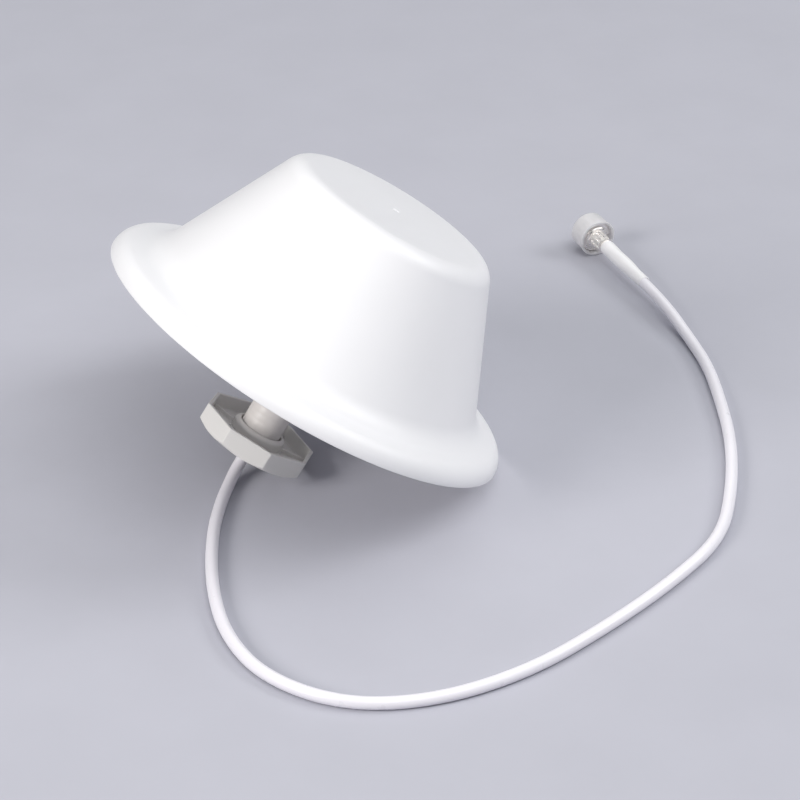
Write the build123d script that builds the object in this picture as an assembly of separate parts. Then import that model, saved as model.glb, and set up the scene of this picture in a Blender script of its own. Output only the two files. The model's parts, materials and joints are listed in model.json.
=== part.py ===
from build123d import *
import os
from math import cos, pi, radians, sin, tan

# Indoor ceiling antenna of a cellular signal booster, at rest on a table.
# A hollow plastic dome with a rounded brim covers a wideband radiator. A threaded pipe on
# the back of its base goes through a ceiling panel, and a cup-shaped eight-sided nut clamps
# the panel. A coaxial pigtail leaves through the pipe and ends in a capped N socket.
# Millimetres. The table is z = 0, and the origin is under the middle of the antenna.
# The antenna lies on its brim, so its axis leans towards +X.
# Most pieces are made in the antenna's own frame: z runs along its axis towards the dome's
# top, and z = 0 is the brim's widest plane. Lengths along that axis are named ..._AT.

# how the antenna lies
TILT = 33.8                # degrees between the antenna's axis and the vertical

# dome
BRIM_R = 93.0              # widest radius of the brim
LIP_OVER_R = 7.8           # rounding of the brim above its widest plane
LIP_UNDER_R = 0.5          # rounding below it, where the brim is flat
BRIM_SLOPE = 14.6          # degrees, upper side of the brim
KNEE_R = 76.3              # where the brim meets the cone
KNEE_FILLET = 13.3
LINING_FILLET = 8.0        # inside the same corner
TOP_R = 45.9               # edge of the flat top, before its rounding
TOP_AT = 72.8
TOP_FILLET = 10.0
WALL = 2.4
GATE_R = 1.6               # moulding mark at the centre of the top
GATE_DEPTH = 0.4

# base plate, in a rebate under the brim
REBATE_R = 83.2
LEDGE_R = 80.7
BASE_AT = -LIP_UNDER_R     # ceiling face of the brim
LEDGE_AT = BASE_AT + 2.8
PLATE_THICK = 2.5
PLATE_GAP = 0.2
SPIGOT_WALL = 2.2
SPIGOT_HIGH = 3.5
POST_R = 4.0               # the dome's screw posts
POST_RING_R = 72.0
SCREW_R = 1.2              # 3 mm self-tapping screws
SCREW_HEAD_R = 2.8
SCREW_HEAD_HIGH = 1.3
SCREW_TIP_AT = 8.5         # tips of the base's screws, inside the posts
SCREW_HOLE_TOP_AT = 10.0
PASS_CLEAR = 0.4           # radial clearance of a base screw and of its head in the plate
HEAD_SUNK = 0.1            # depth of the head below the plate's face
THIN_CLEAR = 0.2           # radial clearance of a screw in a metal sheet

# threaded pipe and its nuts
STUD_R = 9.0
STUD_BORE_R = 6.0
STUD_END_AT = -47.0
STUD_TOP_AT = 7.8
SHOULDER_R = 12.5          # flange of the pipe, sunk in the plate
SHOULDER_THICK = 1.2
RUN_CLEAR = 0.05           # radial clearance of the nut on the pipe
LOCK_NUT_FLATS = 27.0
LOCK_NUT_HIGH = 4.5
NUT_SIDES = 8
NUT_FLATS = 48.0
NUT_AT = -46.1             # lower face of the mounting nut
NUT_HIGH = 9.0
NUT_WALL = 1.6
NUT_FLOOR = 3.0
NUT_HUB_R = 12.4
NUT_HUB_HIGH = 1.5
NUT_RIB = 1.4
NUT_RIB_HIGH = 1.6
NUT_TURN = -12.0           # degrees, angle of one corner at rest
NUT_BEVEL_R = 23.6         # a turned bevel cuts the lower face's corners from here
NUT_BEVEL_HIGH = 2.0
NUT_BEVEL = 55.0           # degrees from the axis
NUT_CORNER = 1.2           # rounding of the corners
NUT_RIB_CLEAR = 0.3        # from the hub to a rib's end
NUT_RIB_SUNK = 0.6         # from a rib's end to the inner corner
COLLAR_R = 11.9            # loose collar on the hub, which presses on the panel
COLLAR_BORE_R = 9.7
COLLAR_HIGH = 4.5
COLLAR_EDGE = 2.0          # rounding of its upper outer edge

# inside the dome
PLANE_R = 64.0             # ground plane
PLANE_AT = 9.0
SHEET = 1.0                # thickness of the aluminium sheets
SPACER_R = 3.5
SPACER_RING_R = 52.0
FEED_HOLE_R = 4.0
SPACER_SCREW_TIP_AT = 4.0
FEED_RIM = 2.0             # flange of the feed insulator
FEED_RIM_THICK = 1.5
DISC_R = 46.0
DISC_HOLE_R = 29.0
DISC_AT = 56.0
CONE_FOOT_AT = 15.0
CONE_FOOT_R = 5.0
CONE_R = 32.0
CONE_SKIRT_AT = 44.0
CONE_FOOT_THICK = 2.5
CONE_SHEET = 0.8
CONE_FLANGE_R = 36.5
SHORT_R = 2.0              # shorting posts
SHORT_RING_R = 41.0
RIVET_R = 1.0
RIVET_RING_R = 34.6
RIVET_HEAD_R = 1.8
RIVET_HEAD_HIGH = 0.8
RIVET_TAIL_R = 1.6
RIVET_TAIL_HIGH = 0.6
PIN_HEAD_R = 2.5           # solder bead that holds the cone on the feed pin
PIN_HEAD_HIGH = 0.9
POST_SCREW_LOW = 9.0       # lengths of the screws in a shorting post's ends
POST_SCREW_HIGH = 8.0

# coaxial cable
CABLE_R = 2.6
BRAID_R = 1.85
DIELECTRIC_R = 1.5
JACKET_TOP_AT = 3.5
DIELECTRIC_TOP_AT = 12.5
GROMMET_LONG = 10.0
CLAMP_WALL = 1.3           # sleeve that clamps the braid under the ground plane
CLAMP_RIM = 3.0
CLAMP_RIM_THICK = 0.8
BRAID_TOP_AT = 8.8
FIT = 0.02                 # gap between pieces that fit tightly

# connector, lying on its cap; lengths run along its own axis from the sleeve's cable end
SLEEVE_FOOT = Vector(194.4, 72.7, 7.6)
HEADING = 93.9             # degrees from +X, seen from above
RISE = 1.95                # degrees
SLEEVE_LONG = 36.0
SLEEVE_THIN_R = 2.95
SLEEVE_R = 3.5
SLEEVE_STEP = 0.15         # growth of the thin end, up to the taper
SLEEVE_TAPER_AT = 8.0
SLEEVE_TAPER_END = 16.0
CABLE_LEAD = 16.0          # straight cable before the sleeve
TAIL_AT = 14.0             # the cable ends here, inside the sleeve
FERRULE_R = 4.1
FERRULE_END = 45.0
SHOULDER_BACK_R = 5.6
THREAD_R = 7.9             # 5/8 in thread of the N socket
THREAD_AT = 46.5
SOCKET_END = 54.8
SOCKET_R = 4.2
SOCKET_DEEP = 8.5
CONTACT_R = 1.5
CONTACT_TIP = 52.8
CONTACT_BORE_R = 0.85
CONTACT_BORE_DEEP = 5.0
CONTACT_SLOT = 0.4
CONTACT_SLOT_DEEP = 3.65
INSULATOR_R = 3.5
INSULATOR_PROUD = 1.5      # length of the insulator inside the socket
CAP_AT = 44.5
CAP_END = 56.0
CAP_R = 8.8
CAP_BEAD_R = 9.1           # bead round the cap's mouth, on which the connector lies
CAP_BEAD = 1.2
CAP_EDGE = 1.8             # rounding of the closed end
CAP_FLOOR = 1.0

# values that follow
LIFT = (BRIM_R - LIP_UNDER_R) * sin(radians(TILT)) + LIP_UNDER_R
STANDING = Location((0, 0, LIFT), (0, TILT, 0))
AXIS = Vector(sin(radians(TILT)), 0, cos(radians(TILT)))
PLATE_TOP = LEDGE_AT
PLATE_AT = PLATE_TOP - PLATE_THICK
ALONG = Vector(
    cos(radians(RISE)) * cos(radians(HEADING)),
    cos(radians(RISE)) * sin(radians(HEADING)),
    sin(radians(RISE)),
)
CONNECTOR = Plane(SLEEVE_FOOT, x_dir=Vector(0, 0, 1).cross(ALONG), z_dir=ALONG).location
PIPE_END = Vector(0, 0, LIFT) + AXIS * STUD_END_AT
CABLE_TIP = SLEEVE_FOOT + ALONG * TAIL_AT
CABLE_ENTRY = SLEEVE_FOOT - ALONG * CABLE_LEAD

# route of the free cable: out of the pipe, down to the table, round the dome and up to
# the sleeve. The corners are rounded by arcs as large as the runs allow.
CABLE_ROUTE = [
    PIPE_END,
    PIPE_END - AXIS * 5.9,
    (-33.9, -3.0, 4.6),
    (-38.5, -8.5, CABLE_R),
    (-46.7, -21.3, CABLE_R),
    (-57.6, -42.5, CABLE_R),
    (-69.3, -76.9, CABLE_R),
    (-74.3, -109.7, CABLE_R),
    (-68.8, -140.1, CABLE_R),
    (-47.0, -166.5, CABLE_R),
    (-13.6, -176.9, CABLE_R),
    (26.2, -173.4, CABLE_R),
    (66.0, -158.5, CABLE_R),
    (101.9, -141.6, CABLE_R),
    (135.2, -121.2, CABLE_R),
    (156.1, -90.3, CABLE_R),
    (173.1, -57.0, CABLE_R),
    (185.0, -22.1, CABLE_R),
    (192.0, 2.8, CABLE_R),
    (195.1, 26.7, CABLE_R),
    CABLE_ENTRY,
    CABLE_TIP,
]


def spun(*lines):
    """Solid of revolution about z of a closed outline given as (radius, height) lines."""
    return revolve(Plane.XZ * make_face(edges_of(lines)), axis=Axis.Z)


def edges_of(lines):
    return [edge for line in lines for edge in line.edges()]


def turned(*points):
    """Solid of revolution of a closed outline of straight lines."""
    return spun(Polyline(*points, close=True))


def rod(radius, low, high):
    return Pos(0, 0, low) * extrude(Circle(radius), high - low)


def tube(radius, bore, low, high):
    return Pos(0, 0, low) * extrude(Circle(radius) - Circle(bore), high - low)


def prism(sides, flats, low, high, turn=0.0):
    outline = RegularPolygon(flats / 2, sides, major_radius=False, rotation=turn)
    return Pos(0, 0, low) * extrude(outline, high - low)


def ringed(piece, radius, count, start=0.0):
    """Copies of a piece, evenly spaced on a circle about the axis."""
    spots = [Rot(0, 0, start + 360 * i / count) * Pos(radius, 0, 0) for i in range(count)]
    return [spot * piece for spot in spots]


def screw(low, high, head_up):
    """Pan-head screw whose head sits beyond its high end, or beyond its low end."""
    if head_up:
        return rod(SCREW_R, low, high) + rod(SCREW_HEAD_R, high, high + SCREW_HEAD_HIGH)
    return rod(SCREW_R, low, high) + rod(SCREW_HEAD_R, low - SCREW_HEAD_HIGH, low)


def inset_corner(before, corner, after, depth):
    """A corner of the dome's outline, moved inwards by depth from both of its sides."""
    first = Vector(*corner) - Vector(*before)
    second = Vector(*after) - Vector(*corner)
    first_out = Vector(first.Y, -first.X).normalized()
    second_out = Vector(second.Y, -second.X).normalized()
    share = depth / (1 + first_out.dot(second_out))
    moved = Vector(*corner) - (first_out + second_out) * share
    return (moved.X, moved.Y)


def radome():
    slope = tan(radians(BRIM_SLOPE))
    under = CenterArc((BRIM_R - LIP_UNDER_R, 0), LIP_UNDER_R, -90, 90)
    over = CenterArc((BRIM_R - LIP_OVER_R, 0), LIP_OVER_R, 0, 90 - BRIM_SLOPE)
    lip = over @ 1
    knee = (KNEE_R, lip.Y + (lip.X - KNEE_R) * slope)
    edge = (TOP_R, TOP_AT)
    skin = FilletPolyline((lip.X, lip.Y), knee, edge, (0, TOP_AT), radius=[KNEE_FILLET, TOP_FILLET])
    outer = spun(under, over, skin, Polyline((0, TOP_AT), (0, BASE_AT), under @ 0))

    inner_knee = inset_corner((lip.X, lip.Y), knee, edge, WALL)
    inner_edge = inset_corner(knee, edge, (0, TOP_AT), WALL)
    cavity_top = (LEDGE_R, inner_knee[1] - (LEDGE_R - inner_knee[0]) * slope)
    ceiling = (0, TOP_AT - WALL)
    lining = FilletPolyline(
        cavity_top, inner_knee, inner_edge, ceiling, radius=[LINING_FILLET, TOP_FILLET - WALL]
    )
    mouth = Polyline(
        ceiling, (0, BASE_AT), (REBATE_R, BASE_AT), (REBATE_R, LEDGE_AT), (LEDGE_R, LEDGE_AT), cavity_top
    )
    cavity = spun(lining, mouth)
    for post in ringed(rod(POST_R, LEDGE_AT, TOP_AT), POST_RING_R, 4, 45):
        cavity -= post
    shell = outer - cavity
    for hole in ringed(rod(SCREW_R + RUN_CLEAR, BASE_AT, SCREW_HOLE_TOP_AT), POST_RING_R, 4, 45):
        shell -= hole
    return shell - rod(GATE_R, TOP_AT - GATE_DEPTH, TOP_AT)


def base_plate():
    plate = rod(REBATE_R - PLATE_GAP, PLATE_AT, PLATE_TOP)
    rim = LEDGE_R - PLATE_GAP
    plate += tube(rim, rim - SPIGOT_WALL, PLATE_TOP, PLATE_TOP + SPIGOT_HIGH)
    plate -= rod(STUD_R + FIT, PLATE_AT, PLATE_TOP)
    plate -= rod(SHOULDER_R + PLATE_GAP, PLATE_AT, PLATE_AT + SHOULDER_THICK)
    recess = rod(SCREW_HEAD_R + PASS_CLEAR, PLATE_AT, PLATE_AT + SCREW_HEAD_HIGH + HEAD_SUNK)
    hole = rod(SCREW_R + PASS_CLEAR, PLATE_AT, PLATE_TOP)
    for cut in ringed(recess + hole, POST_RING_R, 4, 45):
        plate -= cut
    return plate


def base_screws():
    one = screw(PLATE_AT + SCREW_HEAD_HIGH + HEAD_SUNK, SCREW_TIP_AT, head_up=False)
    return ringed(one, POST_RING_R, 4, 45)


def mounting_stud():
    shoulder = rod(SHOULDER_R, PLATE_AT, PLATE_AT + SHOULDER_THICK)
    pipe = rod(STUD_R, STUD_END_AT, STUD_TOP_AT) + shoulder
    return pipe - rod(STUD_BORE_R, STUD_END_AT, STUD_TOP_AT)


def stud_lock_nut():
    nut = prism(6, LOCK_NUT_FLATS, PLATE_TOP, PLATE_TOP + LOCK_NUT_HIGH)
    return nut - rod(STUD_R + FIT, PLATE_TOP, PLATE_TOP + LOCK_NUT_HIGH)


def mounting_nut():
    """Cup-shaped nut: a wall of flat sides round a hub, which ribs join to its corners."""
    floor = NUT_AT + NUT_FLOOR
    top = NUT_AT + NUT_HIGH
    body = prism(NUT_SIDES, NUT_FLATS, NUT_AT, top, NUT_TURN)
    body = fillet(body.edges().filter_by(Axis.Z), NUT_CORNER)
    bevel_end = NUT_BEVEL_R + NUT_BEVEL_HIGH * tan(radians(NUT_BEVEL))
    body &= turned(
        (0, NUT_AT),
        (NUT_BEVEL_R, NUT_AT),
        (bevel_end, NUT_AT + NUT_BEVEL_HIGH),
        (bevel_end, top),
        (0, top),
    )
    body -= prism(NUT_SIDES, NUT_FLATS - 2 * NUT_WALL, floor, top, NUT_TURN)
    body += rod(NUT_HUB_R, floor, floor + NUT_HUB_HIGH)
    inner = NUT_HUB_R + NUT_RIB_CLEAR
    reach = NUT_FLATS / 2 / cos(pi / NUT_SIDES) - NUT_WALL - NUT_RIB_SUNK
    rib = Box(reach - inner, NUT_RIB, NUT_RIB_HIGH)
    rib = Pos((inner + reach) / 2, 0, floor + NUT_RIB_HIGH / 2) * rib
    for one in ringed(rib, 0, NUT_SIDES, NUT_TURN):
        body += one
    return body - rod(STUD_R + RUN_CLEAR, NUT_AT, top)


def clamp_collar():
    low = NUT_AT + NUT_FLOOR + NUT_HUB_HIGH + RUN_CLEAR
    high = low + COLLAR_HIGH
    edge = CenterArc((COLLAR_R - COLLAR_EDGE, high - COLLAR_EDGE), COLLAR_EDGE, 0, 90)
    rest = Polyline(edge @ 1, (COLLAR_BORE_R, high), (COLLAR_BORE_R, low), (COLLAR_R, low), edge @ 0)
    return spun(edge, rest)


def cable_grommet():
    return tube(STUD_BORE_R - FIT, CABLE_R + FIT, STUD_END_AT, STUD_END_AT + GROMMET_LONG)


def cable_in_stud():
    return rod(CABLE_R, STUD_END_AT, JACKET_TOP_AT)


def cable_braid():
    return tube(BRAID_R, DIELECTRIC_R, JACKET_TOP_AT, BRAID_TOP_AT)


def cable_dielectric():
    return rod(DIELECTRIC_R, JACKET_TOP_AT, DIELECTRIC_TOP_AT)


def braid_clamp():
    sleeve = tube(BRAID_R + CLAMP_WALL, BRAID_R, JACKET_TOP_AT, PLANE_AT)
    return sleeve + tube(FEED_HOLE_R + CLAMP_RIM, BRAID_R, PLANE_AT - CLAMP_RIM_THICK, PLANE_AT)


def ground_plane():
    sheet = tube(PLANE_R, FEED_HOLE_R, PLANE_AT, PLANE_AT + SHEET)
    hole = rod(SCREW_R + THIN_CLEAR, PLANE_AT, PLANE_AT + SHEET)
    holes = ringed(hole, SPACER_RING_R, 4) + ringed(hole, SHORT_RING_R, 3, 30)
    for hole in holes:
        sheet -= hole
    return sheet


def ground_plane_spacers():
    return ringed(tube(SPACER_R, SCREW_R + RUN_CLEAR, PLATE_TOP, PLANE_AT), SPACER_RING_R, 4)


def ground_plane_screws():
    return ringed(screw(SPACER_SCREW_TIP_AT, PLANE_AT + SHEET, head_up=True), SPACER_RING_R, 4)


def feed_insulator():
    rim_at = PLANE_AT + SHEET
    top = rim_at + FEED_RIM_THICK
    body = rod(FEED_HOLE_R - FIT, PLANE_AT, rim_at) + rod(FEED_HOLE_R + FEED_RIM, rim_at, top)
    return body - rod(DIELECTRIC_R + FIT, PLANE_AT, top)


def feed_pin():
    foot_top = CONE_FOOT_AT + CONE_FOOT_THICK
    return rod(SCREW_R, DIELECTRIC_TOP_AT, foot_top) + rod(PIN_HEAD_R, foot_top, foot_top + PIN_HEAD_HIGH)


def radiator_cone():
    """Thin flared cone on a solid foot, with a straight skirt and an outward flange."""
    foot_top = CONE_FOOT_AT + CONE_FOOT_THICK
    outside = CONE_R + CONE_SHEET
    return turned(
        (SCREW_R + FIT, CONE_FOOT_AT),
        (CONE_FOOT_R, CONE_FOOT_AT),
        (outside, CONE_SKIRT_AT),
        (outside, DISC_AT - CONE_SHEET),
        (CONE_FLANGE_R, DISC_AT - CONE_SHEET),
        (CONE_FLANGE_R, DISC_AT),
        (CONE_R, DISC_AT),
        (CONE_R, CONE_SKIRT_AT + CONE_SHEET / 2),
        (CONE_FOOT_R + CONE_SHEET, foot_top),
        (SCREW_R + FIT, foot_top),
    ) - rivet_holes()


def rivet_holes():
    return ringed(rod(RIVET_R + FIT, DISC_AT - 2, DISC_AT + 2), RIVET_RING_R, 4)


def radiator_disc():
    disc = tube(DISC_R, DISC_HOLE_R, DISC_AT, DISC_AT + SHEET) - rivet_holes()
    holes = ringed(rod(SCREW_R + THIN_CLEAR, DISC_AT, DISC_AT + SHEET), SHORT_RING_R, 3, 30)
    return disc - holes


def disc_rivets():
    under = DISC_AT - CONE_SHEET
    over = DISC_AT + SHEET
    rivet = rod(RIVET_R, under, over)
    rivet += rod(RIVET_HEAD_R, over, over + RIVET_HEAD_HIGH)
    rivet += rod(RIVET_TAIL_R, under - RIVET_TAIL_HIGH, under)
    return ringed(rivet, RIVET_RING_R, 4)


def shorting_posts():
    post = tube(SHORT_R, SCREW_R + RUN_CLEAR, PLANE_AT + SHEET, DISC_AT)
    return ringed(post, SHORT_RING_R, 3, 30)


def post_screws():
    lower = screw(PLANE_AT, PLANE_AT + POST_SCREW_LOW, head_up=False)
    upper = screw(DISC_AT - POST_SCREW_HIGH, DISC_AT + SHEET, head_up=True)
    return ringed(lower, SHORT_RING_R, 3, 30) + ringed(upper, SHORT_RING_R, 3, 30)


def corner_radii(route):
    """Each arc uses 0.45 of the shorter of its two runs."""
    points = [Vector(*point) for point in route]
    radii = []
    for before, corner, after in zip(points, points[1:], points[2:]):
        turn = (corner - before).get_angle(after - corner)
        shorter = min((corner - before).length, (after - corner).length)
        radii.append(0.45 * shorter / tan(radians(turn / 2)))
    return radii


def pigtail_cable():
    radii = corner_radii(CABLE_ROUTE)
    print("cable radii", [round(radius, 1) for radius in radii])
    path = FilletPolyline(*CABLE_ROUTE, radius=radii)
    solid = sweep(Plane(path @ 0, z_dir=path % 0) * Circle(CABLE_R), path=path)
    filled = solid.volume / (pi * CABLE_R**2 * path.length)
    print("cable length", round(path.length, 1), "volume ratio", round(filled, 4))
    return solid


def heat_shrink():
    bore = CABLE_R + FIT
    return turned(
        (bore, 0),
        (SLEEVE_THIN_R, 0),
        (SLEEVE_THIN_R + SLEEVE_STEP, SLEEVE_TAPER_AT),
        (SLEEVE_R, SLEEVE_TAPER_END),
        (SLEEVE_R, SLEEVE_LONG),
        (bore, SLEEVE_LONG),
    )


def crimp_ferrule():
    return rod(CABLE_R, TAIL_AT, SLEEVE_LONG) + rod(FERRULE_R, SLEEVE_LONG, FERRULE_END)


def connector_body():
    socket_floor = SOCKET_END - SOCKET_DEEP
    shell = rod(SHOULDER_BACK_R, FERRULE_END, THREAD_AT) + rod(THREAD_R, THREAD_AT, SOCKET_END)
    return shell - rod(SOCKET_R, socket_floor, SOCKET_END) - rod(INSULATOR_R, FERRULE_END, socket_floor)


def connector_insulator():
    front = SOCKET_END - SOCKET_DEEP + INSULATOR_PROUD
    return tube(INSULATOR_R - FIT, CONTACT_R + FIT, FERRULE_END, front)


def connector_contact():
    slot = Pos(0, 0, CONTACT_TIP) * Box(CONTACT_SLOT, 3 * CONTACT_R, 2 * CONTACT_SLOT_DEEP)
    pin = rod(CONTACT_R, FERRULE_END, CONTACT_TIP)
    pin -= rod(CONTACT_BORE_R, CONTACT_TIP - CONTACT_BORE_DEEP, CONTACT_TIP)
    return pin - slot - Rot(0, 0, 90) * slot


def dust_cap():
    shell = rod(CAP_R, CAP_AT, CAP_END)
    shell = fillet(shell.edges().sort_by(Axis.Z)[-1], CAP_EDGE)
    shell += rod(CAP_BEAD_R, CAP_AT, CAP_AT + CAP_BEAD)
    return shell - rod(THREAD_R + RUN_CLEAR, CAP_AT, CAP_END - CAP_FLOOR)


def solids_of(piece):
    """The separate solids of a piece, which may be one shape or a list of them."""
    shapes = piece if isinstance(piece, list) else [piece]
    return [solid for shape in shapes for solid in shape.solids()]


def write(name, piece, place=None):
    solids = solids_of(piece)
    if place is not None:
        solids = [place * solid for solid in solids]
    shape = solids[0] if len(solids) == 1 else Compound(children=solids)
    export_step(shape, f"parts/{name}.step")


IN_ANTENNA = [
    radome,
    base_plate,
    base_screws,
    mounting_stud,
    stud_lock_nut,
    mounting_nut,
    clamp_collar,
    cable_grommet,
    cable_in_stud,
    cable_braid,
    cable_dielectric,
    braid_clamp,
    ground_plane,
    ground_plane_spacers,
    ground_plane_screws,
    feed_insulator,
    feed_pin,
    radiator_cone,
    radiator_disc,
    disc_rivets,
    shorting_posts,
    post_screws,
]
ON_CONNECTOR = [
    heat_shrink,
    crimp_ferrule,
    connector_body,
    connector_insulator,
    connector_contact,
    dust_cap,
]

os.makedirs("parts", exist_ok=True)
for make in IN_ANTENNA:
    write(make.__name__, make(), STANDING)
for make in ON_CONNECTOR:
    write(make.__name__, make(), CONNECTOR)
write("pigtail_cable", pigtail_cable())
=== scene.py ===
import json
from math import atan2, cos, hypot, pi, radians, sin, tan, tau

import bmesh
import bpy
from mathutils import Matrix, Vector


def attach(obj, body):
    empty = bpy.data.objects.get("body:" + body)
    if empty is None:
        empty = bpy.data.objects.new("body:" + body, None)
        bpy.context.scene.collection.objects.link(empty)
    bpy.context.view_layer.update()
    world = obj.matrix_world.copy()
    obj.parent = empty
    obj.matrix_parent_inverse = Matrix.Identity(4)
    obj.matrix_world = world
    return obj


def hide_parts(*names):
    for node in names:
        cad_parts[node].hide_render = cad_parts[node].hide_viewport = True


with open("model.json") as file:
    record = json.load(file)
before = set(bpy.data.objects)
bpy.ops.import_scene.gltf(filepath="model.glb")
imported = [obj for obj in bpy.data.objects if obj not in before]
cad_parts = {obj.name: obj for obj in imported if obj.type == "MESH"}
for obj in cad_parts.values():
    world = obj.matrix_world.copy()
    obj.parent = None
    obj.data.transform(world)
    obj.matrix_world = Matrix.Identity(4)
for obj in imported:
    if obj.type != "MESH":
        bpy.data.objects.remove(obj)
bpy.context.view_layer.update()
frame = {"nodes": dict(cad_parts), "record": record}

# Ceiling antenna of a signal booster, lying on its brim on a pale floor.
# Pieces of the antenna are made in its own frame: z along its axis, z = 0 at the brim's
# widest plane. Pieces of the connector are made in the connector's frame: z along its axis
# from the cable end of the sleeve. Lengths in these frames are millimetres.

MM = 0.001
MOUNTS = {mount["name"]: mount for mount in frame["record"]["mounts"]}
PIPE_FACE_AT = -0.2        # where the pipe's mount lies on the antenna's axis
SOCKET_FACE_AT = 54.8      # where the socket's mount lies on the connector's axis


def place_of(z_axis, x_axis, origin):
    """Matrix of a right-handed frame with these axes, in metres."""
    y_axis = z_axis.cross(x_axis)
    turn = Matrix((x_axis, y_axis, z_axis)).transposed().to_4x4()
    return Matrix.Translation(origin) @ turn


def antenna_place():
    mount = MOUNTS["mounting_pipe"]
    axis = -Vector(mount["axis"]).normalized()
    origin = Vector(mount["pos_m"]) - axis * PIPE_FACE_AT * MM
    return place_of(axis, Vector((0, 1, 0)).cross(axis).normalized(), origin)


def connector_place():
    mount = MOUNTS["n_socket"]
    axis = Vector(mount["axis"]).normalized()
    origin = Vector(mount["pos_m"]) - axis * SOCKET_FACE_AT * MM
    return place_of(axis, Vector((0, 0, 1)).cross(axis).normalized(), origin)


ANTENNA = antenna_place()
CONNECTOR = connector_place()


# ---------------------------------------------------------------- camera and cable

AZIMUTH = -21.76           # degrees round from the -Y side, towards -X
ELEVATION = 32.0
DISTANCE = 1.2384
AIM = Vector((0.0542, 0.0301, 0.0))
LENS = 126.0


def camera():
    azimuth = radians(AZIMUTH)
    elevation = radians(ELEVATION)
    back = Vector((sin(azimuth) * cos(elevation), -cos(azimuth) * cos(elevation), sin(elevation)))
    data = bpy.data.cameras.new("camera")
    data.lens = LENS
    data.sensor_width = 36.0
    data.clip_start = 0.05
    data.clip_end = 30.0
    thing = bpy.data.objects.new("camera", data)
    thing.location = AIM + back * DISTANCE
    thing.rotation_mode = "QUATERNION"
    thing.rotation_quaternion = (-back).to_track_quat("-Z", "Y")
    bpy.context.collection.objects.link(thing)
    bpy.context.scene.camera = thing


CABLE_R = 0.0026
PIPE_END_AT = -47.0
SLEEVE_LEAD = -16.0        # the cable runs straight from here into the sleeve
CABLE_END_AT = 14.0

CABLE_ROUTE = [
    ANTENNA @ Vector((0, 0, PIPE_END_AT * MM)),
    ANTENNA @ Vector((0, 0, (PIPE_END_AT - 5.9) * MM)),
    (-0.0339, -0.0030, 0.0046),
    (-0.0385, -0.0085, CABLE_R),
    (-0.0467, -0.0213, CABLE_R),
    (-0.0576, -0.0425, CABLE_R),
    (-0.0693, -0.0769, CABLE_R),
    (-0.0743, -0.1097, CABLE_R),
    (-0.0688, -0.1401, CABLE_R),
    (-0.0470, -0.1665, CABLE_R),
    (-0.0136, -0.1769, CABLE_R),
    (0.0262, -0.1734, CABLE_R),
    (0.0660, -0.1585, CABLE_R),
    (0.1019, -0.1416, CABLE_R),
    (0.1352, -0.1212, CABLE_R),
    (0.1561, -0.0903, CABLE_R),
    (0.1731, -0.0570, CABLE_R),
    (0.1850, -0.0221, CABLE_R),
    (0.1920, 0.0028, CABLE_R),
    (0.1951, 0.0267, CABLE_R),
    CONNECTOR @ Vector((0, 0, SLEEVE_LEAD * MM)),
    CONNECTOR @ Vector((0, 0, CABLE_END_AT * MM)),
]


def cable():
    data = bpy.data.curves.new("cable", "CURVE")
    data.dimensions = "3D"
    line = data.splines.new("NURBS")
    line.points.add(len(CABLE_ROUTE) - 1)
    for point, spot in zip(line.points, CABLE_ROUTE):
        point.co = (*spot, 1)
    line.order_u = 3
    line.use_endpoint_u = True
    line.resolution_u = 16
    data.bevel_depth = CABLE_R
    data.bevel_resolution = 9
    data.use_fill_caps = True
    thing = bpy.data.objects.new("cable", data)
    bpy.context.collection.objects.link(thing)
    return thing


# ---------------------------------------------------------------- floor and light

FLOOR_COLOUR = (0.485, 0.487, 0.545)
FLOOR_HALF = 4.0


def studio_floor():
    mesh = bpy.data.meshes.new("studio_floor")
    h = FLOOR_HALF
    mesh.from_pydata([(-h, -h, 0), (h, -h, 0), (h, h, 0), (-h, h, 0)], [], [(0, 1, 2, 3)])
    thing = bpy.data.objects.new("studio_floor", mesh)
    bpy.context.collection.objects.link(thing)
    thing.data.materials.append(plastic("floor_paper", FLOOR_COLOUR, 0.75, grain=900, bump=0.02))


def softbox(name, spot, size, watts, colour=(1, 1, 1)):
    data = bpy.data.lights.new(name, "AREA")
    data.shape = "RECTANGLE"
    data.size, data.size_y = size
    data.energy = watts
    data.color = colour
    thing = bpy.data.objects.new(name, data)
    thing.location = spot
    thing.rotation_mode = "QUATERNION"
    thing.rotation_quaternion = (-Vector(spot)).to_track_quat("-Z", "Y")
    bpy.context.collection.objects.link(thing)


def lights():
    """A faint even sky, a wide overhead box, a key box in front and smaller ones at the sides."""
    world = bpy.data.worlds.new("studio")
    world.use_nodes = True
    background = world.node_tree.nodes["Background"]
    background.inputs["Color"].default_value = (0.75, 0.87, 1.0, 1)
    background.inputs["Strength"].default_value = 0.08
    bpy.context.scene.world = world
    softbox("overhead", (0.8, 0.5, 3.4), (4.5, 4.5), 68)
    softbox("key_light", (0.3, -2.1, 3.3), (3.0, 2.2), 52)
    softbox("left_light", (-1.9, -0.45, 1.15), (1.0, 0.9), 34, (1.0, 0.975, 0.95))
    softbox("right_light", (2.2, -0.6, 1.6), (1.2, 1.0), 25)


# ---------------------------------------------------------------- materials

def shader_of(name, colour, roughness, metallic=0.0):
    material = bpy.data.materials.new(name)
    material.use_nodes = True
    shader = material.node_tree.nodes["Principled BSDF"]
    shader.inputs["Base Color"].default_value = (*colour, 1)
    shader.inputs["Roughness"].default_value = roughness
    shader.inputs["Metallic"].default_value = metallic
    material.diffuse_color = (*colour, 1)
    return material, shader


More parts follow.
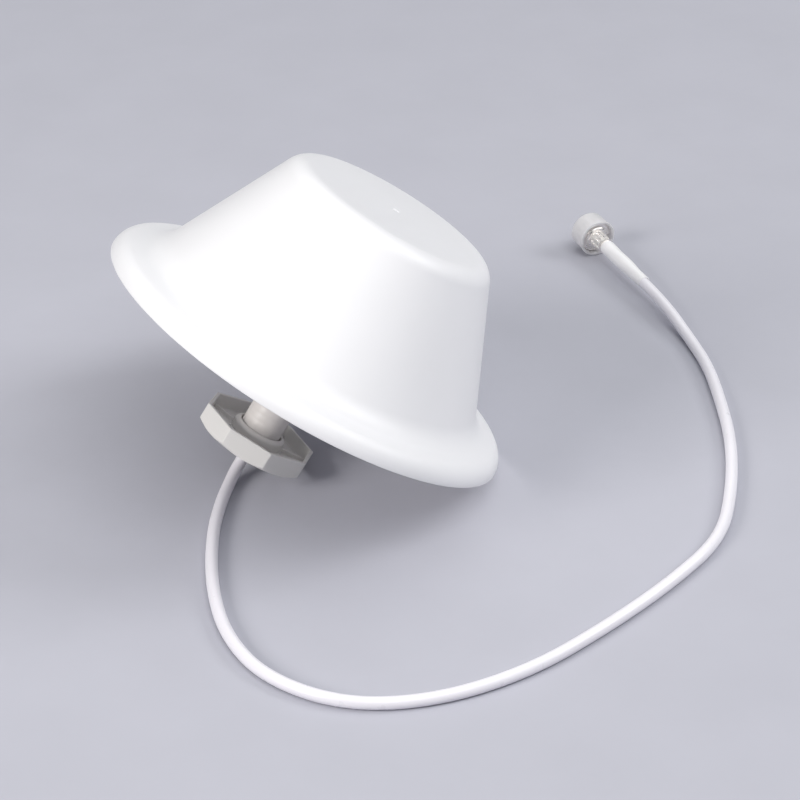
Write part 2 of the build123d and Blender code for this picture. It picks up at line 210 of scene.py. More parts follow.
def noise(material, scale, detail=2.0, stretch=(1, 1, 1), place=None):
    """Noise over a frame of the piece's own; stretch above 1 packs it along that axis."""
    nodes, links = material.node_tree.nodes, material.node_tree.links
    spots = nodes.new("ShaderNodeTexCoord").outputs["Object"]
    if place is not None:
        local = nodes.new("ShaderNodeMapping")
        local.vector_type = "TEXTURE"
        local.inputs["Location"].default_value = place.to_translation()
        local.inputs["Rotation"].default_value = place.to_euler()
        links.new(spots, local.inputs["Vector"])
        spots = local.outputs["Vector"]
    mapping = nodes.new("ShaderNodeMapping")
    mapping.inputs["Scale"].default_value = stretch
    texture = nodes.new("ShaderNodeTexNoise")
    texture.inputs["Scale"].default_value = scale
    texture.inputs["Detail"].default_value = detail
    links.new(spots, mapping.inputs["Vector"])
    links.new(mapping.outputs["Vector"], texture.inputs["Vector"])
    return texture.outputs["Fac"]


def spread(material, factor, low, high):
    """A noise factor spread between two values."""
    nodes, links = material.node_tree.nodes, material.node_tree.links
    ranged = nodes.new("ShaderNodeMapRange")
    ranged.inputs["From Min"].default_value = 0.3
    ranged.inputs["From Max"].default_value = 0.7
    ranged.inputs["To Min"].default_value = low
    ranged.inputs["To Max"].default_value = high
    links.new(factor, ranged.inputs["Value"])
    return ranged.outputs["Result"]


def mottle(material, shader, colour, scale, depth):
    """Slow change of shade over the surface, as in moulded plastic or worn metal."""
    nodes, links = material.node_tree.nodes, material.node_tree.links
    ramp = nodes.new("ShaderNodeValToRGB")
    ramp.color_ramp.elements[0].position = 0.3
    ramp.color_ramp.elements[0].color = (*[c * (1 - depth) for c in colour], 1)
    ramp.color_ramp.elements[1].position = 0.7
    ramp.color_ramp.elements[1].color = (*colour, 1)
    links.new(noise(material, scale, 3), ramp.inputs["Fac"])
    links.new(ramp.outputs["Color"], shader.inputs["Base Color"])


def roughen(material, shader, scale, low, high):
    links = material.node_tree.links
    links.new(spread(material, noise(material, scale, 4), low, high), shader.inputs["Roughness"])


def bumps(material, shader, factor, strength, distance):
    nodes, links = material.node_tree.nodes, material.node_tree.links
    bump = nodes.new("ShaderNodeBump")
    bump.inputs["Strength"].default_value = strength
    bump.inputs["Distance"].default_value = distance
    links.new(factor, bump.inputs["Height"])
    links.new(bump.outputs["Normal"], shader.inputs["Normal"])


def plastic(name, colour, roughness, grain=2600, bump=0.05, depth=0.03, blotch=22):
    material, shader = shader_of(name, colour, roughness)
    mottle(material, shader, colour, blotch, depth)
    roughen(material, shader, 160, roughness - 0.05, roughness + 0.06)
    bumps(material, shader, noise(material, grain, 3), bump, 0.0002)
    return material


def metal(name, colour, roughness, lined=(40, 40, 40), place=None, depth=0.12):
    """Metal with fine lines; lined packs them along one axis of the frame given as place."""
    material, shader = shader_of(name, colour, roughness, 1.0)
    mottle(material, shader, colour, 350, depth)
    roughen(material, shader, 500, roughness * 0.7, roughness * 1.4)
    lines = noise(material, 60, 4, lined, place)
    bumps(material, shader, lines, 0.12, 0.00006)
    return material


def clear_plastic(name, colour):
    """Soft translucent plastic: part of the light passes, the rest scatters white."""
    material, shader = shader_of(name, colour, 0.4)
    shader.inputs["Transmission Weight"].default_value = 0.38
    shader.inputs["IOR"].default_value = 1.45
    roughen(material, shader, 60, 0.34, 0.46)
    bumps(material, shader, noise(material, 400, 2), 0.03, 0.0002)
    return material


TURNED = (0.4, 0.4, 70)    # lines round the z axis

DOME_WHITE = plastic("dome_white", (0.90, 0.895, 0.91), 0.42, bump=0.035, depth=0.02)
BASE_WHITE = plastic("base_white", (0.80, 0.79, 0.78), 0.5, bump=0.08)
PIPE_WHITE = plastic("pipe_white", (0.80, 0.765, 0.74), 0.45, bump=0.04)
NUT_WHITE = plastic("nut_white", (0.83, 0.815, 0.79), 0.5, bump=0.06)
COLLAR_WHITE = plastic("collar_white", (0.82, 0.80, 0.77), 0.5, bump=0.05)
JACKET_WHITE = plastic("jacket_white", (0.89, 0.87, 0.92), 0.32, grain=1500, bump=0.03)
SLEEVE_WHITE = plastic("sleeve_white", (0.93, 0.92, 0.93), 0.45, grain=1800, bump=0.06)
RUBBER_GREY = plastic("rubber_grey", (0.06, 0.06, 0.065), 0.7, bump=0.15)
NATURAL_NYLON = plastic("natural_nylon", (0.78, 0.76, 0.68), 0.45)
WAXY_WHITE = plastic("waxy_white", (0.88, 0.88, 0.87), 0.35, bump=0.02)
CORE_WHITE = plastic("core_white", (0.82, 0.82, 0.79), 0.4)
NICKEL = metal("nickel", (0.93, 0.90, 0.875), 0.30, TURNED, CONNECTOR, depth=0.06)
GOLD = metal("gold", (0.86, 0.62, 0.26), 0.25, TURNED, CONNECTOR)
BRASS = metal("brass", (0.72, 0.55, 0.26), 0.32)
BRAID = metal("braid", (0.66, 0.60, 0.52), 0.4)
SHEET_METAL = metal("sheet_metal", (0.76, 0.77, 0.78), 0.36, (6, 60, 60), ANTENNA)
SPUN_METAL = metal("spun_metal", (0.74, 0.75, 0.77), 0.33)
SCREW_STEEL = metal("screw_steel", (0.62, 0.63, 0.66), 0.3)
CLEAR_CAP = clear_plastic("clear_cap", (0.97, 0.96, 0.975))


# ---------------------------------------------------------------- mesh helpers

AXIS_R = 0.001             # outline points this close to the axis close the piece there
SEGMENTS = 128
SHARP = radians(32)


def span(node, place):
    """Lowest and highest corner of a CAD node in a frame of its own, in millimetres."""
    back = place.inverted()
    spots = [back @ vertex.co / MM for vertex in frame["nodes"][node].data.vertices]
    low = Vector([min(spot[i] for spot in spots) for i in range(3)])
    high = Vector([max(spot[i] for spot in spots) for i in range(3)])
    return low, high


def join(mesh, lower, upper):
    """Faces between two rings with as many points, or between a ring and one point."""
    count = max(len(lower), len(upper))
    if count == 1:
        return
    for i in range(count):
        corners = []
        for ring, order in ((lower, (i, i + 1)), (upper, (i + 1, i))):
            corners += [ring[k % count] for k in order] if len(ring) > 1 else [ring[0]]
        mesh.faces.new(corners)


def skin(mesh, loops):
    """Closed surface through rings of points, from the last ring back to the first."""
    rings = [[mesh.verts.new(Vector(point) * MM) for point in loop] for loop in loops]
    for lower, upper in zip(rings, rings[1:] + rings[:1]):
        join(mesh, lower, upper)


def finished(name, mesh, place, material, sharp=SHARP):
    """Object from a mesh made in a frame of its own, smooth except at sharp edges."""
    mesh.transform(place)
    bmesh.ops.recalc_face_normals(mesh, faces=mesh.faces)
    data = bpy.data.meshes.new(name)
    mesh.to_mesh(data)
    mesh.free()
    data.shade_smooth()
    data.set_sharp_from_angle(angle=sharp)
    data.materials.append(material)
    thing = bpy.data.objects.new(name, data)
    bpy.context.collection.objects.link(thing)
    return thing


def rounded(corners, steps=5):
    """Closed outline through (radius, height, rounding) corners, with arcs at the corners."""
    outline = []
    for i, (r, z, rounding) in enumerate(corners):
        here = Vector((r, z))
        if rounding == 0:
            outline.append(here)
            continue
        to_before = (Vector(corners[i - 1][:2]) - here).normalized()
        to_after = (Vector(corners[(i + 1) % len(corners)][:2]) - here).normalized()
        half = to_before.angle(to_after) / 2
        centre = here + (to_before + to_after).normalized() * rounding / sin(half)
        start = here + to_before * rounding / tan(half) - centre
        turn = (pi - 2 * half) * (1 if to_before.cross(to_after) < 0 else -1)
        for k in range(steps + 1):
            angle = turn * k / steps
            outline.append(centre + start @ Matrix.Rotation(-angle, 2))
    return outline


def ring(r, z, segments, relief=None):
    """Points of a circle, moved in or out by a relief, or the one point on the axis."""
    if r < AXIS_R:
        return [(0, 0, z)]
    points = []
    for k in range(segments):
        angle = tau * k / segments
        grown = r + (relief(angle, r, z) if relief else 0)
        points.append((grown * cos(angle), grown * sin(angle), z))
    return points


def lathe(mesh, outline, segments=SEGMENTS, relief=None):
    skin(mesh, [ring(r, z, segments, relief) for r, z in outline])


def stretch(r, start, end, step):
    """Points along a straight run of an outline, without its ends, for a relief to move."""
    count = int(abs(end - start) / step)
    return [(r, start + (end - start) * i / count) for i in range(1, count)]


def filled(outline, run):
    """Outline with a run of points put in before its first point above the run."""
    at = next(i for i, (_, z) in enumerate(outline) if z > run[-1][1])
    return outline[:at] + run + outline[at:]


def thread(pitch, depth, low, high):
    """Relief of a right-hand thread that fades in and out over one pitch."""
    def relief(angle, r, z):
        fade = min(1, max(0, (z - low) / pitch), max(0, (high - z) / pitch))
        phase = (z / pitch - angle / tau) % 1
        groove = min(1, max(0, 1.6 - abs(4 * phase - 2) * 1.3))
        return -depth * groove * fade
    return relief


def knurl(teeth, depth, pitch, low, high):
    """Relief of a diamond knurl."""
    def relief(angle, r, z):
        if not low < z < high:
            return 0
        left = abs(sin(teeth * angle / 2 + pi * z / pitch))
        right = abs(sin(teeth * angle / 2 - pi * z / pitch))
        return -depth * (1 - min(left, right) ** 0.7)
    return relief


def slot(thing, body, slot_name, *nodes):
    """Rides on a body and stands for CAD nodes, which it hides; slot_name is not used."""
    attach(thing, body)
    if nodes:
        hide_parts(*nodes)
    return thing


# ---------------------------------------------------------------- dome and base

BRIM_R = 93.0
LIP_OVER_R = 7.8
LIP_UNDER_R = 0.5
BRIM_SLOPE = 14.6
KNEE_R = 76.3
KNEE_ROUND = 13.3
TOP_R = 45.9
TOP_AT = 72.8
TOP_ROUND = 10.0
WALL = 2.4
REBATE_R = 83.2
LEDGE_R = 80.7
BASE_AT = -LIP_UNDER_R
LEDGE_AT = 2.3
GATE_R = 1.6
GATE_DEPTH = 0.4
POST_RING_R = 72.0
POST_R = 4.0
POST_HOLE_R = 1.25
POST_TOP_AT = 10.4
SCREW_COUNT = 4
SCREW_START = radians(45)
LINING_TOP_INSET = 1.4     # how far the dome's lining lies inside its outer corners
LINING_KNEE_INSET = 1.3
LINING_KNEE_DROP = 1.5
LINING_KNEE_ROUND = 8.0
LINING_FOOT_DROP = 2.6


def post_spot(number):
    """Where a screw post stands, in metres in the antenna's frame."""
    angle = SCREW_START + tau * number / SCREW_COUNT
    return Vector((cos(angle), sin(angle), 0)) * POST_RING_R * MM


def arc(r, z, radius, start, end, steps):
    angles = [radians(start + (end - start) * k / steps) for k in range(steps + 1)]
    return [Vector((r + radius * cos(a), z + radius * sin(a))) for a in angles]


def radome():
    over = arc(BRIM_R - LIP_OVER_R, 0, LIP_OVER_R, 0, 90 - BRIM_SLOPE, 14)
    under = arc(BRIM_R - LIP_UNDER_R, 0, LIP_UNDER_R, -90, 0, 6)
    lip = over[-1]
    knee_z = lip.y + (lip.x - KNEE_R) * tan(radians(BRIM_SLOPE))
    skin_line = rounded([
        (lip.x, lip.y, 0),
        (KNEE_R, knee_z, KNEE_ROUND),
        (TOP_R, TOP_AT, TOP_ROUND),
        (GATE_R + 0.3, TOP_AT, 0.15),
        (GATE_R, TOP_AT - GATE_DEPTH, 0.15),
        (0, TOP_AT - GATE_DEPTH, 0),
    ], 14)
    lining = rounded([
        (0, TOP_AT - WALL, 0),
        (TOP_R - LINING_TOP_INSET, TOP_AT - WALL, TOP_ROUND - WALL),
        (KNEE_R - LINING_KNEE_INSET, knee_z - LINING_KNEE_DROP, LINING_KNEE_ROUND),
        (LEDGE_R, knee_z - LINING_FOOT_DROP, 0),
        (LEDGE_R, LEDGE_AT, 0.2),
        (REBATE_R, LEDGE_AT, 0.2),
        (REBATE_R, BASE_AT, 0.4),
        (BRIM_R - LIP_UNDER_R, BASE_AT, 0),
    ], 8)
    post = [
        (POST_HOLE_R, LEDGE_AT),
        (POST_R, LEDGE_AT),
        (POST_R, POST_TOP_AT),
        (POST_HOLE_R, POST_TOP_AT),
    ]
    mesh = bmesh.new()
    lathe(mesh, over[:-1] + skin_line + lining[:-1] + under[:-1], segments=256)
    for number in range(SCREW_COUNT):
        before = len(mesh.verts)
        lathe(mesh, post, segments=32)
        mesh.verts.ensure_lookup_table()
        bmesh.ops.translate(mesh, verts=mesh.verts[before:], vec=post_spot(number))
    return finished("radome_shell", mesh, ANTENNA, DOME_WHITE)


PLATE_GAP = 0.2
SPIGOT_WALL = 2.2
SHOULDER_THICK = 1.2       # flange of the pipe, sunk in the plate
STUD_HOLE_R = 9.05
SHOULDER_HOLE_R = 12.7
PANEL_START_R = 18.0       # shallow sunk panel on the plate's outside
PANEL_END_R = 66.0
PANEL_DEPTH = 0.5


def base_cover():
    low, high = span("base_plate", ANTENNA)
    rim = LEDGE_R - PLATE_GAP
    mesh = bmesh.new()
    outline = rounded([
        (STUD_HOLE_R, PIPE_FACE_AT + SHOULDER_THICK, 0.1),
        (SHOULDER_HOLE_R, PIPE_FACE_AT + SHOULDER_THICK, 0.1),
        (SHOULDER_HOLE_R, low.z, 0.3),
        (PANEL_START_R, low.z, 0.1),
        (PANEL_START_R + PANEL_DEPTH, low.z + PANEL_DEPTH, 0.1),
        (PANEL_END_R - PANEL_DEPTH, low.z + PANEL_DEPTH, 0.1),
        (PANEL_END_R, low.z, 0.1),
        (high.x, low.z, 0.5),
        (high.x, LEDGE_AT, 0.2),
        (rim, LEDGE_AT, 0.1),
        (rim, high.z, 0.4),
        (rim - SPIGOT_WALL, high.z, 0.4),
        (rim - SPIGOT_WALL, LEDGE_AT, 0.3),
        (STUD_HOLE_R, LEDGE_AT, 0.2),
    ])
    lathe(mesh, outline, segments=192)
    return finished("base_cover", mesh, ANTENNA, BASE_WHITE)


# ---------------------------------------------------------------- pipe, nut and collar

STUD_R = 9.0
STUD_BORE_R = 6.0
STUD_EDGE = 0.5
STUD_PITCH = 3.0
STUD_THREAD_DEEP = 0.06
FLANGE_EDGE = 0.3


def threaded_pipe():
    low, high = span("mounting_stud", ANTENNA)
    flange_top = PIPE_FACE_AT + SHOULDER_THICK
    thread_start = low.z + STUD_EDGE
    outline = rounded([
        (STUD_R, low.z, STUD_EDGE),
        (STUD_R, PIPE_FACE_AT, FLANGE_EDGE),
        (high.x, PIPE_FACE_AT, FLANGE_EDGE),
        (high.x, flange_top, 0.1),
        (STUD_R, flange_top, 0.1),
        (STUD_R, high.z, STUD_EDGE),
        (STUD_BORE_R, high.z, 0.4),
        (STUD_BORE_R, low.z, 0.4),
    ])
    run = stretch(STUD_R, thread_start, PIPE_FACE_AT - FLANGE_EDGE, 0.25)
    groove = thread(STUD_PITCH, STUD_THREAD_DEEP, thread_start, PIPE_FACE_AT - 1.0)
    mesh = bmesh.new()
    lathe(mesh, filled(outline, run), 96, groove)
    return finished("threaded_pipe", mesh, ANTENNA, PIPE_WHITE)


NUT_SIDES = 8
NUT_STEP = tau / NUT_SIDES
NUT_FLATS = 48.0
NUT_WALL = 1.6
NUT_FLOOR = 3.0
NUT_HUB_R = 12.4
NUT_HUB_HIGH = 1.5
NUT_RIB = 1.4
NUT_RIB_HIGH = 1.6
NUT_TURN = radians(-12)    # angle of one corner at rest
NUT_BORE_R = 9.05
NUT_BORE_EDGE = 0.6
BEVEL_R = 23.6             # a turned bevel cuts the lower face's corners from here
BEVEL_SLOPE = 0.7
BEVEL_END = 2.2
OUTER_CORNER = 1.2         # roundings of the nut's corners and edges
INNER_CORNER = 0.6
LOWER_EDGE = 0.6
RIM_EDGE = 0.35
FLOOR_EDGE = 0.6
HUB_EDGE = 0.2
RIB_DRAFT = 0.1            # how far each side of a rib leans in
RIB_EDGE = 0.35
RIB_SINK = 0.3             # how deep the ribs start in the floor
CORNER_STEPS = 6
FLAT_STEPS = 10


def towards(angle, length=1.0):
    return Vector((cos(angle), sin(angle))) * length


def nut_loop(flats, rounding, z):
    """Ring of points round the nut's sides, with rounded corners."""
    points = []
    reach = (flats / 2 - rounding) / cos(NUT_STEP / 2)
    for k in range(NUT_SIDES):
        corner = NUT_TURN + k * NUT_STEP
        centre = towards(corner, reach)
        next_centre = towards(corner + NUT_STEP, reach)
        side = towards(corner + NUT_STEP / 2, rounding)
        for i in range(CORNER_STEPS + 1):
            points.append(centre + towards(corner + NUT_STEP * (i / CORNER_STEPS - 0.5), rounding))
        for i in range(1, FLAT_STEPS):
            points.append((centre + side).lerp(next_centre + side, i / FLAT_STEPS))
    return [(point.x, point.y, z) for point in points]


def round_loop(r, z, like):
    """Ring of points on a circle, at the angles of another ring."""
    angles = [atan2(y, x) for x, y, _ in like]
    return [(r * cos(angle), r * sin(angle), z) for angle in angles]


def bevelled(loop, low):
    """Lifts the points of a lower rim that a turned bevel would cut off."""
    return [(x, y, max(z, low + (hypot(x, y) - BEVEL_R) * BEVEL_SLOPE)) for x, y, z in loop]


def edge_loops(flats, rounding, z, radius, start, end, inward, upward):
    """Rings over a quarter-round edge; inward and upward say on which side its centre lies."""
    loops = []
    steps = 4
    for i in range(steps + 1):
        angle = radians(start + (end - start) * i / steps)
        inset = radius * (1 - cos(angle)) * inward
        loops.append(nut_loop(flats - 2 * inset, rounding, z + upward * radius * (1 - sin(angle))))
    return loops


def clamp_nut():
    low, high = span("mounting_nut", ANTENNA)
    nut_floor = low.z + NUT_FLOOR
    hub_top = nut_floor + NUT_HUB_HIGH
    inner = NUT_FLATS - 2 * NUT_WALL
    like = nut_loop(NUT_FLATS, OUTER_CORNER, 0)
    loops = [
        round_loop(NUT_BORE_R, low.z + NUT_BORE_EDGE, like),
        round_loop(NUT_BORE_R + NUT_BORE_EDGE, low.z, like),
        round_loop(BEVEL_R - 0.4, low.z, like),
    ]
    lower = edge_loops(NUT_FLATS, OUTER_CORNER, low.z, LOWER_EDGE, 90, 0, 1, 1)
    lower.append(nut_loop(NUT_FLATS, OUTER_CORNER, low.z + BEVEL_END))
    loops += [bevelled(loop, low.z) for loop in lower]
    loops += edge_loops(NUT_FLATS, OUTER_CORNER, high.z, RIM_EDGE, 0, 90, 1, -1)
    loops += edge_loops(inner, INNER_CORNER, high.z, RIM_EDGE, 90, 0, -1, -1)
    loops += edge_loops(inner, INNER_CORNER, nut_floor, FLOOR_EDGE, 0, 90, 1, 1)
    hub = rounded([
        (NUT_HUB_R + 1, nut_floor, 0),
        (NUT_HUB_R, nut_floor, HUB_EDGE),
        (NUT_HUB_R, hub_top, HUB_EDGE),
        (NUT_BORE_R, hub_top, HUB_EDGE),
    ])
    loops += [round_loop(r, z, like) for r, z in hub[1:]]
    mesh = bmesh.new()
    skin(mesh, loops)
    reach = NUT_FLATS / 2 / cos(NUT_STEP / 2) - NUT_WALL - 0.7
    rib_foot = nut_floor - RIB_SINK
    rib_top = nut_floor + NUT_RIB_HIGH
    for k in range(NUT_SIDES):
        rib(mesh, NUT_HUB_R - 0.4, reach, rib_foot, rib_top, NUT_TURN + k * NUT_STEP)
    return finished("clamp_nut", mesh, ANTENNA, NUT_WHITE, radians(25))


def rib(mesh, start, end, low, high, angle):
    """Upright rib with a rounded top edge, from start to end along one direction."""
    section = rounded([
        (-NUT_RIB / 2, low, 0),
        (NUT_RIB / 2, low, 0),
        (NUT_RIB / 2 - RIB_DRAFT, high, RIB_EDGE),
        (-NUT_RIB / 2 + RIB_DRAFT, high, RIB_EDGE),
    ], 4)
    turn = Matrix.Rotation(angle, 3, "Z")
    ends = []
    for reach in (start, end):
        ends.append([mesh.verts.new(turn @ Vector((reach, side, z)) * MM) for side, z in section])
    join(mesh, ends[0], ends[1])
    for end_ring in ends:
        mesh.faces.new(end_ring)


COLLAR_BORE_R = 9.7
COLLAR_EDGE = 1.95
CABLE_HOLE_R = 2.62        # of the grommet and the sleeve, just over the cable's own radius


def collar():
    """Loose collar on the nut's hub, as high as the nut's rim."""
    low, high = span("clamp_collar", ANTENNA)
    mesh = bmesh.new()
    lathe(mesh, rounded([
        (COLLAR_BORE_R, low.z, 0.2),
        (high.x, low.z, 0.2),
        (high.x, high.z, COLLAR_EDGE),
        (COLLAR_BORE_R, high.z, 0.2),
    ], 8))
    return finished("clamp_collar_ring", mesh, ANTENNA, COLLAR_WHITE)


def grommet():
    low, high = span("cable_grommet", ANTENNA)
    mesh = bmesh.new()
    lathe(mesh, rounded([
        (CABLE_HOLE_R, low.z, 0.3),
        (high.x, low.z, 0.5),
        (high.x, high.z, 0.5),
        (CABLE_HOLE_R, high.z, 0.3),
    ]), segments=64)
    return finished("pipe_grommet", mesh, ANTENNA, RUBBER_GREY)


SCREW_HEAD_R = 2.8
SCREW_HEAD_HIGH = 1.3
SCREW_R = 1.2
SCREW_POINT = 1.5
RECESS_R = 0.9
RECESS_DEEP = 0.9
CROSS_ARM = 0.9            # how far the recess's four arms reach past its middle
CROSS_END_R = 1.3


def cover_screw(number):
    """Pan-head screw with a cross recess, up into a post of the dome."""
    low, high = span("base_screws", ANTENNA)
    outline = rounded([
        (0, low.z + RECESS_DEEP, 0),
        (0.5, low.z + RECESS_DEEP, 0.1),
        (RECESS_R, low.z, 0.1),
        (SCREW_HEAD_R, low.z, 0.7),
        (SCREW_HEAD_R, low.z + SCREW_HEAD_HIGH, 0.1),
        (SCREW_R, low.z + SCREW_HEAD_HIGH, 0.1),
        (SCREW_R, high.z - SCREW_POINT, 0.2),
        (0, high.z, 0),
    ], 4)

    def cross(angle, r, z):
        if z > low.z + RECESS_DEEP - 0.01 or r > CROSS_END_R:
            return 0
        return CROSS_ARM * max(0, cos(4 * angle)) ** 3

    mesh = bmesh.new()
    lathe(mesh, outline, 48, cross)
    bmesh.ops.translate(mesh, verts=mesh.verts, vec=post_spot(number))
    return finished(f"cover_screw_{number + 1}", mesh, ANTENNA, SCREW_STEEL)


# ---------------------------------------------------------------- sleeve and connector

SLEEVE_R = 2.9             # at the cable's end
SLEEVE_GROWS = 0.5
GROWTH_START = 4.0
GROWTH_LONG = 14.0
SLEEVE_STEPS = 60
UNEVEN = 0.06              # how far shrinking has left the sleeve out of round
RIDGE_HIGH = 0.14
RIDGE_PITCH = 1.3
RIDGES_START = 28.0


def share_of(z, start, long):
    """How much of a stretch lies before z, from 0 to 1."""
    return max(0, min(1, (z - start) / long))


def sleeve():
    """Shrunk sleeve that swells towards the connector, with faint ridges near that end."""
    _, high = span("heat_shrink", CONNECTOR)

    def ridges(angle, r, z):
        if r <= SLEEVE_R - 0.1:
            return 0
        wave = 0.5 + 0.5 * cos(tau * z / RIDGE_PITCH)
        near_end = share_of(z, RIDGES_START, 3) * share_of(high.z - 0.4 - z, 0, 1.5)
        return UNEVEN * sin(3 * angle + z * 0.4) + RIDGE_HIGH * wave * near_end

    outside = []
    for i in range(SLEEVE_STEPS + 1):
        z = 0.3 + (high.z - 0.6) * i / SLEEVE_STEPS
        share = share_of(z, GROWTH_START, GROWTH_LONG)
        outside.append((SLEEVE_R + SLEEVE_GROWS * share * share * (3 - 2 * share), z))
    foot = [(CABLE_HOLE_R, 0.1), (2.75, 0.0)]
    mouth = [(3.3, high.z - 0.05), (SLEEVE_R, high.z), (CABLE_HOLE_R, high.z)]
    mesh = bmesh.new()
    lathe(mesh, foot + outside + mouth, 64, ridges)
    return finished("cable_sleeve", mesh, CONNECTOR, SLEEVE_WHITE)


FERRULE_HEAD_AT = 36.0
FERRULE_R = 4.1
FERRULE_EDGE = 0.2
TAIL_R = 2.55
GROOVE_R = 3.1
GROOVE_LONG = 0.9
KNURL_TEETH = 24
KNURL_DEEP = 0.36
KNURL_PITCH = 1.4


def ferrule():
    """Crimp tail in the sleeve, then a knurled barrel behind a narrow groove."""
    low, high = span("crimp_ferrule", CONNECTOR)
    groove_end = FERRULE_HEAD_AT + GROOVE_LONG
    knurl_start = FERRULE_HEAD_AT + 1.1
    knurl_end = high.z - 0.5
    outline = rounded([
        (0, low.z, 0),
        (TAIL_R, low.z, 0.3),
        (TAIL_R, FERRULE_HEAD_AT, 0.1),
        (GROOVE_R, FERRULE_HEAD_AT, 0.1),
        (GROOVE_R, groove_end, 0.1),
        (FERRULE_R, groove_end, FERRULE_EDGE),
        (FERRULE_R, high.z, FERRULE_EDGE),
        (0, high.z, 0),
    ], 3)
    run = stretch(FERRULE_R, knurl_start, knurl_end, 0.14)
    diamonds = knurl(KNURL_TEETH, KNURL_DEEP, KNURL_PITCH, knurl_start, knurl_end)
    mesh = bmesh.new()
    lathe(mesh, filled(outline, run), 168, diamonds)
    return finished("knurled_ferrule", mesh, CONNECTOR, NICKEL)


SOCKET_SHOULDER_AT = 46.5
SOCKET_R = 7.9
SOCKET_BORE_R = 4.2
SOCKET_DEEP = 8.5
SOCKET_CHAMFER = 0.7
SOCKET_EDGE = 0.2
SOCKET_NECK_R = 5.6
SOCKET_BACK_R = 3.5        # of the hole that the insulator's back closes
SOCKET_PITCH = 1.058       # 24 threads to the inch
SOCKET_THREAD_DEEP = 0.5


def socket_body():
    low, high = span("connector_body", CONNECTOR)
    floor_at = high.z - SOCKET_DEEP
    thread_start = SOCKET_SHOULDER_AT + 0.8
    thread_end = high.z - 0.8
    outline = rounded([
        (SOCKET_BACK_R, low.z, 0),
        (5.0, low.z, SOCKET_EDGE),
        (SOCKET_NECK_R, low.z + 0.5, SOCKET_EDGE),
        (SOCKET_NECK_R, SOCKET_SHOULDER_AT, 0.1),
        (SOCKET_R - SOCKET_CHAMFER, SOCKET_SHOULDER_AT, SOCKET_EDGE),
        (SOCKET_R, SOCKET_SHOULDER_AT + SOCKET_CHAMFER, SOCKET_EDGE),
        (SOCKET_R, high.z - SOCKET_CHAMFER, SOCKET_EDGE),
        (SOCKET_R - SOCKET_CHAMFER, high.z, SOCKET_EDGE),
        (SOCKET_BORE_R + SOCKET_CHAMFER, high.z, 0.3),
        (SOCKET_BORE_R, high.z - SOCKET_CHAMFER, 0.3),
        (SOCKET_BORE_R, floor_at, SOCKET_EDGE),
        (SOCKET_BACK_R, floor_at, 0),
    ], 3)
    run = stretch(SOCKET_R, thread_start, thread_end, SOCKET_PITCH / 10)
    groove = thread(SOCKET_PITCH, SOCKET_THREAD_DEEP, thread_start, thread_end)

    def outer_groove(angle, r, z):
        return groove(angle, r, z) if r > SOCKET_R - 0.4 else 0

    mesh = bmesh.new()
    lathe(mesh, filled(outline, run), relief=outer_groove)
    return finished("threaded_socket", mesh, CONNECTOR, NICKEL)


CONTACT_HOLE_R = 1.52


def insulator():
    low, high = span("connector_insulator", CONNECTOR)
    mesh = bmesh.new()
    lathe(mesh, rounded([
        (CONTACT_HOLE_R, low.z, 0),
        (high.x, low.z, 0.1),
        (high.x, high.z, 0.25),
        (CONTACT_HOLE_R, high.z, 0.1),
    ]), segments=64)
    return finished("socket_insulator", mesh, CONNECTOR, WAXY_WHITE)


CAP_R = 8.8
CAP_BORE_R = 7.95
CAP_BEAD = 1.2
CAP_EDGE = 1.8
CAP_FLOOR = 1.0


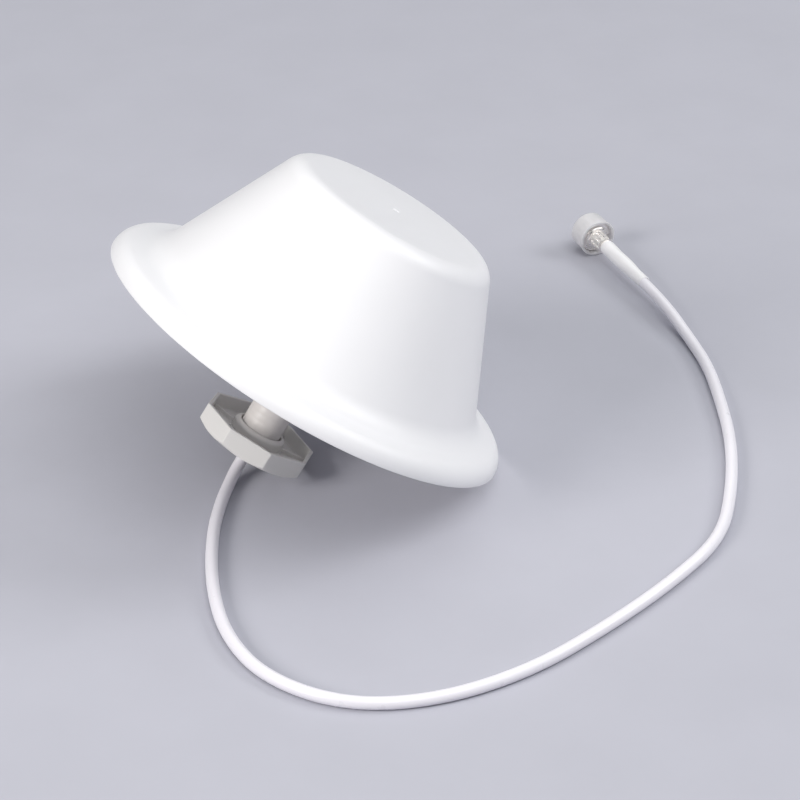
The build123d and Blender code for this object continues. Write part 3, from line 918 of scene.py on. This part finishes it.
def cap():
    """Soft cap with a bead round its mouth and a rounded closed end."""
    low, high = span("dust_cap", CONNECTOR)
    bead_end = low.z + CAP_BEAD
    outline = rounded([
        (CAP_BORE_R, low.z, 0.15),
        (high.x, low.z, 0.4),
        (high.x, bead_end, 0.4),
        (CAP_R, bead_end, 0.1),
        (CAP_R, high.z, CAP_EDGE),
        (0, high.z, 0),
        (0, high.z - CAP_FLOOR, 0),
        (CAP_BORE_R, high.z - CAP_FLOOR, 0.3),
    ], 6)
    mesh = bmesh.new()
    lathe(mesh, outline, segments=96)
    return finished("clear_dust_cap", mesh, CONNECTOR, CLEAR_CAP)


# ---------------------------------------------------------------- putting it together

INSIDE = {
    "stud_lock_nut": SCREW_STEEL,
    "cable_in_stud": JACKET_WHITE,
    "cable_braid": BRAID,
    "cable_dielectric": CORE_WHITE,
    "braid_clamp": BRASS,
    "ground_plane": SHEET_METAL,
    "ground_plane_spacers": NATURAL_NYLON,
    "ground_plane_screws": SCREW_STEEL,
    "feed_insulator": WAXY_WHITE,
    "feed_pin": BRASS,
    "radiator_cone": SPUN_METAL,
    "radiator_disc": SHEET_METAL,
    "disc_rivets": SPUN_METAL,
    "shorting_posts": BRASS,
    "post_screws": SCREW_STEEL,
    "connector_contact": GOLD,
}

bpy.context.scene.view_settings.view_transform = "Standard"
camera()
studio_floor()
lights()

cord = cable()
cord.data.materials.append(JACKET_WHITE)
slot(cord, "antenna", "cable_jacket", "pigtail_cable")

slot(radome(), "antenna", "dome_plastic", "radome")
slot(base_cover(), "antenna", "base_plastic", "base_plate")
slot(threaded_pipe(), "antenna", "stud_plastic", "mounting_stud")
slot(grommet(), "antenna", "grommet_rubber", "cable_grommet")
for number in range(SCREW_COUNT):
    slot(cover_screw(number), "antenna", "screw_steel", "base_screws")
slot(clamp_nut(), "nut", "nut_plastic", "mounting_nut")
slot(collar(), "clamp", "collar_plastic", "clamp_collar")

on_cord = [
    slot(sleeve(), "antenna", "sleeve_plastic", "heat_shrink"),
    slot(ferrule(), "antenna", "nickel", "crimp_ferrule"),
    slot(socket_body(), "antenna", "nickel", "connector_body"),
    slot(insulator(), "antenna", "ptfe", "connector_insulator"),
    slot(cap(), "cap", "clear_cap", "dust_cap"),
    frame["nodes"]["connector_contact"],
]
for node, material in INSIDE.items():
    materials = frame["nodes"][node].data.materials
    materials.clear()
    materials.append(material)
